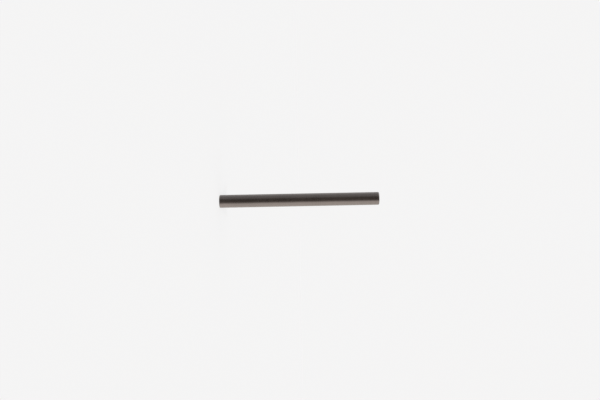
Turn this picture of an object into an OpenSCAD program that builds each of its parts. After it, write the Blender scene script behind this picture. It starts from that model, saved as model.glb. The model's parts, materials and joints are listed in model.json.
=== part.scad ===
// Pressure pin: a plain hardened steel pin that slides endwise in its guide
// and passes a push from one part to the next.
// It is one piece of bar, turned to length and ground round. Both end faces
// are flat, and a small chamfer with softened edges leads each end in.
// The pin stands on its lower end face, with its axis along +Z.

/* [Shank] */
// Ground diameter, which slides in the guide
pin_d = 5; // [3:0.1:12]
// Length over both end faces
pin_len = 62.5; // [30:0.5:120]

/* [Ends] */
// Length of each chamfer, measured along the pin
chamfer_len = 0.3; // [0.2:0.05:0.6]
// Angle between the chamfer and the pin's axis
chamfer_angle = 45; // [20:5:60]
// Radius that softens both edges of each chamfer
edge_r = 0.1; // [0.02:0.02:0.2]

/* [Hidden] */
$fn = 96;
// Short straight steps that follow each softened edge
edge_steps = 4;
pin_r = pin_d / 2;
face_r = pin_r - chamfer_len * tan(chamfer_angle);
steel_grey = [0.42, 0.38, 0.36];

// Rounds a corner of the outline. The arc turns from the outward direction of
// the side before the corner to that of the side after it, both in degrees.
function softened(corner, from, to) =
  let (
    middle = (from + to) / 2,
    centre = corner - edge_r / cos((to - from) / 2) * [cos(middle), sin(middle)]
  )
  [for (i = [0 : edge_steps])
    let (a = from + (to - from) * i / edge_steps)
    centre + edge_r * [cos(a), sin(a)]];

// Half of the pin's lengthwise section, from the axis out to the shank and back
function half_section() = concat(
  [[0, 0]],
  softened([face_r, 0], -90, -chamfer_angle),
  softened([pin_r, chamfer_len], -chamfer_angle, 0),
  softened([pin_r, pin_len - chamfer_len], 0, chamfer_angle),
  softened([face_r, pin_len], chamfer_angle, 90),
  [[0, pin_len]]
);

// The whole pin, turned from its half section
module pin() {
  color(steel_grey)
  rotate_extrude()
  polygon(half_section());
}

pin();
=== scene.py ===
import json
import math

import bmesh
import bpy
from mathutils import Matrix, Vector


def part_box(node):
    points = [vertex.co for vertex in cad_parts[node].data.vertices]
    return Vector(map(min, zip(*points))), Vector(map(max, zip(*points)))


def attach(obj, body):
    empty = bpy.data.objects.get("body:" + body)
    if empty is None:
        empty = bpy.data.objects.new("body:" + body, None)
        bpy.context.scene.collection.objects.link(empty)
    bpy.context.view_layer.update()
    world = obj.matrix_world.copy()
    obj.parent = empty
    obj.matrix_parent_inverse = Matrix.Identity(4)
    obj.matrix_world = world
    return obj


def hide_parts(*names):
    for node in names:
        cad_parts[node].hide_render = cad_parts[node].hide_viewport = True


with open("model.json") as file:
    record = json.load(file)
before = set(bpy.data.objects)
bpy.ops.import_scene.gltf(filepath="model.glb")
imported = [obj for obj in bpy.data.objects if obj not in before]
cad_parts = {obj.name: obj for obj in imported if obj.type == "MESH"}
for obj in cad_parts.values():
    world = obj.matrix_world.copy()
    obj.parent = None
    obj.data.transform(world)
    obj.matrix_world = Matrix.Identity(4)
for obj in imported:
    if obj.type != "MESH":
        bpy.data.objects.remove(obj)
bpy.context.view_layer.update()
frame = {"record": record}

# ---- The pin ----
# A push pin cut from round steel bar, hardened, and ground to a sliding fit along its whole length.
# Its two ends are faced flat in the lathe and chamfered, and the chamfer's edges are softened so
# that they don't score the guide.

MM = 0.001
shank = next(mount["dims"] for mount in frame["record"]["mounts"] if mount["name"] == "shank")
pin_r = shank["r_mm"] * MM
pin_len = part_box("pin")[1].z
sides = 192

# Between the straight shank and the flat of each end face lie the chamfer, at 45 degrees, and its two
# soft edges
end_len = (pin_len - shank["length_mm"] * MM) / 2
edge_r = 0.1 * MM
edge_turn = math.radians(45)
edge_steps = 4
edge_setback = edge_r * math.tan(edge_turn / 2)
chamfer_len = end_len - edge_setback
flat_r = pin_r - end_len
flat_rings = 3

bpy.ops.object.select_all(action="DESELECT")
bpy.ops.mesh.primitive_cylinder_add(
    vertices=sides, radius=pin_r, depth=pin_len, end_fill_type="NGON", location=(0, 0, pin_len / 2)
)
pin = bpy.context.object
pin.name = "pressure_pin"
bpy.ops.object.transform_apply(location=True, rotation=True, scale=True)

def pick(kind, wanted):
    """In edit mode, selects the pin's edges or faces whose corners pass the test."""
    bpy.ops.mesh.select_mode(type={"edges": "EDGE", "faces": "FACE"}[kind])
    bpy.ops.mesh.select_all(action="DESELECT")
    mesh = bmesh.from_edit_mesh(pin.data)
    for element in getattr(mesh, kind):
        if wanted([corner.co for corner in element.verts]):
            element.select_set(True)
    mesh.select_flush_mode()
    bmesh.update_edit_mesh(pin.data)

def from_end(corner):
    """How far a corner lies along the pin from the nearer end face."""
    return min(corner.z, pin_len - corner.z)

def ring_within(reach):
    """A test for the edges of the rings round the pin that lie this near an end face."""
    level = 0.0001 * MM
    return lambda corners: abs(corners[0].z - corners[1].z) < level and from_end(corners[0]) < reach

# The chamfers, and then both edges of each
bpy.ops.object.mode_set(mode="EDIT")
pick("edges", ring_within(chamfer_len / 2))
bpy.ops.mesh.bevel(offset=chamfer_len, offset_type="OFFSET", segments=1, affect="EDGES")
pick("edges", ring_within(chamfer_len * 2))
bpy.ops.mesh.bevel(
    offset=edge_setback, offset_type="OFFSET", segments=edge_steps, profile=0.5, affect="EDGES"
)

# Rings across the end faces and one round the middle, so that the finish unrolls evenly
pick("faces", lambda corners: len(corners) == sides)
for ring in range(flat_rings):
    bpy.ops.mesh.inset(thickness=flat_r / (flat_rings + 1))
bpy.ops.mesh.poke()
bpy.ops.mesh.select_all(action="SELECT")
bpy.ops.mesh.bisect(plane_co=(0, 0, pin_len / 2), plane_no=(0, 0, 1))
bpy.ops.object.mode_set(mode="OBJECT")

def fill(node, inputs):
    """Sets a node's inputs, each to a value or to another node's output."""
    for socket, value in inputs.items():
        if isinstance(value, bpy.types.NodeSocket):
            node.id_data.links.new(value, node.inputs[socket])
        else:
            node.inputs[socket].default_value = value

def add_node(tree, kind, inputs, **settings):
    """Adds a shader node of this kind with its inputs and settings."""
    node = tree.nodes.new("ShaderNode" + kind)
    for name, value in settings.items():
        setattr(node, name, value)
    fill(node, inputs)
    return node

def noise(tree, dimensions, place, detail):
    """A noise whose middle values are spread out to run from 0 to 1."""
    low, high = 0.3, 0.7
    raw = add_node(
        tree, "TexNoise", {**place, "Scale": 1, "Detail": detail}, noise_dimensions=dimensions
    )
    spread = {"Value": raw.outputs["Fac"], "From Min": low, "From Max": high}
    return add_node(tree, "MapRange", spread).outputs["Result"]

def grain(tree, across, along, detail):
    """A pattern from 0 to 1 with grains of this size across the pin and along it."""
    place = add_node(tree, "TexCoord", {}).outputs["Object"]
    scale = (1 / across, 1 / across, 1 / along)
    stretched = add_node(tree, "Mapping", {"Vector": place, "Scale": scale}).outputs["Vector"]
    return noise(tree, "3D", {"Vector": stretched}, detail)

def rings(tree, width, detail):
    """A pattern from 0 to 1 in rings of about this width round the pin's axis."""
    place = add_node(tree, "TexCoord", {}).outputs["Object"]
    scale = (1 / width, 1 / width, 0)
    across = add_node(tree, "VectorMath", {0: place, 1: scale}, operation="MULTIPLY")
    radius = add_node(tree, "VectorMath", {0: across.outputs["Vector"]}, operation="LENGTH")
    return noise(tree, "1D", {"W": radius.outputs["Value"]}, detail)

def layered(tree, total, *layers):
    """A number with a share of each pattern added to it."""
    for pattern, share in layers:
        total = add_node(
            tree, "Math", {0: pattern, 1: share, 2: total}, operation="MULTIPLY_ADD"
        ).outputs["Value"]
    return total

def mixed(tree, factor, first, second):
    """A colour between two, by a factor from 0 to 1."""
    mix = add_node(tree, "Mix", {"Factor": factor}, data_type="RGBA")
    fill(mix, {"A": first, "B": second})
    return mix.outputs["Result"]

def bare_steel(name):
    """A new steel material, with highlights that spread across the marks round the pin's axis."""
    material = bpy.data.materials.new(name)
    material.use_nodes = True
    tree = material.node_tree
    tangent = add_node(tree, "Tangent", {}, direction_type="RADIAL", axis="Z")
    fill(tree.nodes["Principled BSDF"], {
        "Metallic": 1, "Anisotropic Rotation": 0.25, "Tangent": tangent.outputs["Tangent"],
    })
    return material

def carved(tree, relief, depth):
    """The surface's slope where a pattern is cut this deep into it."""
    return add_node(tree, "Bump", {"Height": relief, "Distance": depth}).outputs["Normal"]

def ground_finish():
    """The shank's finish: the wheel's fine lines and the bands of its feed, under a film of oil."""
    material = bare_steel("satin_ground_steel")
    tree = material.node_tree
    lines = grain(tree, across=4 * MM, along=0.09 * MM, detail=2)
    bands = grain(tree, across=12 * MM, along=0.9 * MM, detail=1)
    film = grain(tree, across=5 * MM, along=9 * MM, detail=3)
    tone = layered(tree, 0.1, (film, 0.5), (bands, 0.12), (lines, 0.15))
    relief = layered(tree, 0, (lines, 1), (bands, 1.2))
    fill(tree.nodes["Principled BSDF"], {
        "Base Color": mixed(tree, tone, (0.27, 0.235, 0.215, 1), (0.35, 0.30, 0.275, 1)),
        "Roughness": layered(tree, 0.228, (film, 0.05), (bands, 0.015), (lines, 0.05)),
        "Normal": carved(tree, relief, depth=0.0015 * MM),
        "Anisotropic": 0.5,
    })
    return material

def faced_finish():
    """The ends' finish: the rings that the lathe tool leaves, fine ones within broader ones."""
    material = bare_steel("faced_steel")
    tree = material.node_tree
    grooves = rings(tree, width=0.10 * MM, detail=2)
    cuts = rings(tree, width=0.45 * MM, detail=0)
    film = grain(tree, across=1.6 * MM, along=1.6 * MM, detail=3)
    tone = layered(tree, 0, (film, 0.4), (cuts, 0.3), (grooves, 0.3))
    relief = layered(tree, 0, (grooves, 1), (cuts, 1))
    fill(tree.nodes["Principled BSDF"], {
        "Base Color": mixed(tree, tone, (0.25, 0.22, 0.203, 1), (0.37, 0.32, 0.295, 1)),
        "Roughness": layered(tree, 0.18, (film, 0.08), (grooves, 0.10)),
        "Normal": carved(tree, relief, depth=0.0035 * MM),
        "Anisotropic": 0.8,
    })
    return material

ground = ground_finish()
faced = faced_finish()
pin.data.materials.append(ground)
pin.data.materials.append(faced)
bpy.ops.object.mode_set(mode="EDIT")
pick("faces", lambda corners: max(from_end(corner) for corner in corners) < chamfer_len)
pin.active_material_index = pin.data.materials.find(faced.name)
bpy.ops.object.material_slot_assign()
bpy.ops.object.mode_set(mode="OBJECT")

def unroll():
    """Unrolls each half of the pin, from its middle to the centre of its end face, as one strip.
    The map has the name that the export looks for, so its baked finishes keep an even, fine scale."""
    strip = 2 * math.pi * pin_r
    space = 0.3 * MM
    sheet = max(2 * (strip + space), pin_len / 2 + pin_r + space)
    near_axis = 0.01 * MM
    mesh = bmesh.new()
    mesh.from_mesh(pin.data)
    unrolled = mesh.loops.layers.uv.new("OFBake")
    for face in mesh.faces:
        middle = face.calc_center_median()
        bearing = math.atan2(middle.y, middle.x)
        upper = middle.z > pin_len / 2
        for loop in face.loops:
            corner = loop.vert.co
            radius = math.hypot(corner.x, corner.y)
            turn = bearing if radius < near_axis else math.atan2(corner.y, corner.x)
            if abs(turn - bearing) > math.pi:
                turn = math.copysign(math.pi, bearing)
            round_pin = strip / 2 + (turn if upper else -turn) * pin_r
            outwards = abs(corner.z - pin_len / 2) + pin_r - radius
            loop[unrolled].uv = ((round_pin + upper * (strip + space)) / sheet, outwards / sheet)
    mesh.to_mesh(pin.data)
    mesh.free()

def steady_shading():
    """Leans the shading at each corner towards the larger faces that meet there, so that the shank,
    the chamfers and the end faces look true and only the soft edges between them look rounded."""
    normals = []
    mesh = bmesh.new()
    mesh.from_mesh(pin.data)
    for corner in mesh.verts:
        lean = sum((face.normal * face.calc_area() for face in corner.link_faces), Vector())
        normals.append(lean.normalized())
    mesh.free()
    pin.data.normals_split_custom_set_from_vertices(normals)

unroll()
bpy.ops.object.shade_smooth()
steady_shading()
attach(pin, "root")
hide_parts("pin")

# ---- The floor ----
# A plain pale light table that the pin stands on, wide enough to reach the horizon. Its own glow keeps
# the pin's shadow faint. It is left out of the pin's reflections, and it isn't part of the pin.

pale = (0.912, 0.908, 0.908, 1)
floor_side = 40
bpy.ops.object.select_all(action="DESELECT")
bpy.ops.mesh.primitive_plane_add(size=floor_side, location=(0, 0, 0))
floor = bpy.context.object
floor.name = "floor"
table_top = bpy.data.materials.new("pale_table_top")
table_top.use_nodes = True
fill(table_top.node_tree.nodes["Principled BSDF"], {
    "Base Color": (0.20, 0.20, 0.20, 1), "Roughness": 1, "Specular IOR Level": 0,
    "Emission Color": pale, "Emission Strength": 0.66,
})
floor.data.materials.append(table_top)
floor.visible_glossy = False

# ---- The light ----
# Soft cards stand all round the pin, so that each shows as a straight band along it from any side.
# A hoop of light above them shows in the upper end face, and one below in the lower. All of it lights
# the pin alone: the floor has the even backdrop and a lamp of its own, which gives the soft shadow.

def ramp(tree, value, stops):
    """Colours with an alpha that change smoothly from stop to stop, as the value goes from 0 to 1."""
    node = add_node(tree, "ValToRGB", {"Fac": value})
    node.color_ramp.interpolation = "EASE"
    elements = node.color_ramp.elements
    elements.remove(elements[-1])
    for place, colour in stops:
        elements.new(place).color = colour
    elements.remove(elements[0])
    return node

# The bearing in degrees from the front, with the left positive, at which each card has its full
# brightness
cards = [
    (-180, (0.10, 0.10, 0.10)),
    (-166, (0.12, 0.12, 0.12)),
    (-148, (1.00, 0.97, 0.93)),
    (-120, (0.94, 0.935, 0.92)),
    (-64, (0.92, 0.905, 0.895)),
    (-16, (0.105, 0.093, 0.087)),
    (20, (0.085, 0.079, 0.075)),
    (62, (0.270, 0.274, 0.285)),
    (90, (0.325, 0.343, 0.363)),
    (125, (0.65, 0.685, 0.71)),
    (146, (0.48, 0.48, 0.49)),
    (165, (0.12, 0.12, 0.12)),
    (180, (0.10, 0.10, 0.10)),
]

# The same from straight below, 0, to straight above, 1, with how far it hides the cards
hoops = [
    (0.02, (0.06, 0.06, 0.06, 1)),
    (0.15, (0.80, 0.80, 0.78, 0.60)),
    (0.34, (0.80, 0.80, 0.78, 0)),
    (0.69, (0.95, 0.95, 0.95, 0)),
    (0.80, (0.95, 0.95, 0.95, 0.50)),
    (0.92, (0.95, 0.95, 0.95, 0.50)),
    (0.985, (0.06, 0.06, 0.06, 1)),
]

studio = bpy.data.worlds.new("studio")
bpy.context.scene.world = studio
studio.use_nodes = True
tree = studio.node_tree
direction = add_node(tree, "TexCoord", {}).outputs["Generated"]
towards = add_node(tree, "SeparateXYZ", {"Vector": direction})
leftward = layered(tree, 0, (towards.outputs["X"], -1))
frontward = layered(tree, 0, (towards.outputs["Y"], -1))
bearing = add_node(tree, "Math", {0: leftward, 1: frontward}, operation="ARCTAN2")
turn = layered(tree, 0.5, (bearing.outputs["Value"], 0.5 / math.pi))
climb = layered(tree, 0.5, (towards.outputs["Z"], 0.5))
card = ramp(tree, turn, [(0.5 + degrees / 360, (*colour, 1)) for degrees, colour in cards])
hoop = ramp(tree, climb, hoops)
lights = mixed(tree, hoop.outputs["Alpha"], card.outputs["Color"], hoop.outputs["Color"])
in_the_pin = add_node(tree, "LightPath", {}).outputs["Is Glossy Ray"]
fill(tree.nodes["Background"], {"Color": mixed(tree, in_the_pin, pale, lights)})

lamp_data = bpy.data.lights.new("lamp", "SUN")
lamp_data.energy = 2.2
lamp_data.angle = math.radians(12)
lamp = bpy.data.objects.new("lamp", lamp_data)
bpy.context.scene.collection.objects.link(lamp)
lamp.rotation_euler = (math.radians(25), 0, 0)
lamp.visible_glossy = False

# ---- The camera ----
# It looks level at the middle of the pin and is turned on its side, so that the pin lies across its
# view with the upper end to the right and a little higher. The pin's height runs to the right in
# the view, and +X runs down.

view_px = (600, 400)
pin_middle_px = (299.3, 199.89)
pin_long_px = 159.3
pixel = pin_len / pin_long_px
rise = math.radians(1.114)

camera_data = bpy.data.cameras.new("camera")
camera_data.lens = 50
camera_data.sensor_width = 36
camera_data.clip_start = 0.01
camera_data.clip_end = 100
camera = bpy.data.objects.new("camera", camera_data)
bpy.context.scene.collection.objects.link(camera)
camera.location = (
    (view_px[1] / 2 - pin_middle_px[1]) * pixel,
    -view_px[0] * pixel * camera_data.lens / camera_data.sensor_width,
    pin_len / 2 + (view_px[0] / 2 - pin_middle_px[0]) * pixel,
)
camera.rotation_euler = (math.radians(90), rise - math.radians(90), 0)
bpy.context.scene.camera = camera
bpy.context.scene.view_settings.view_transform = "Standard"
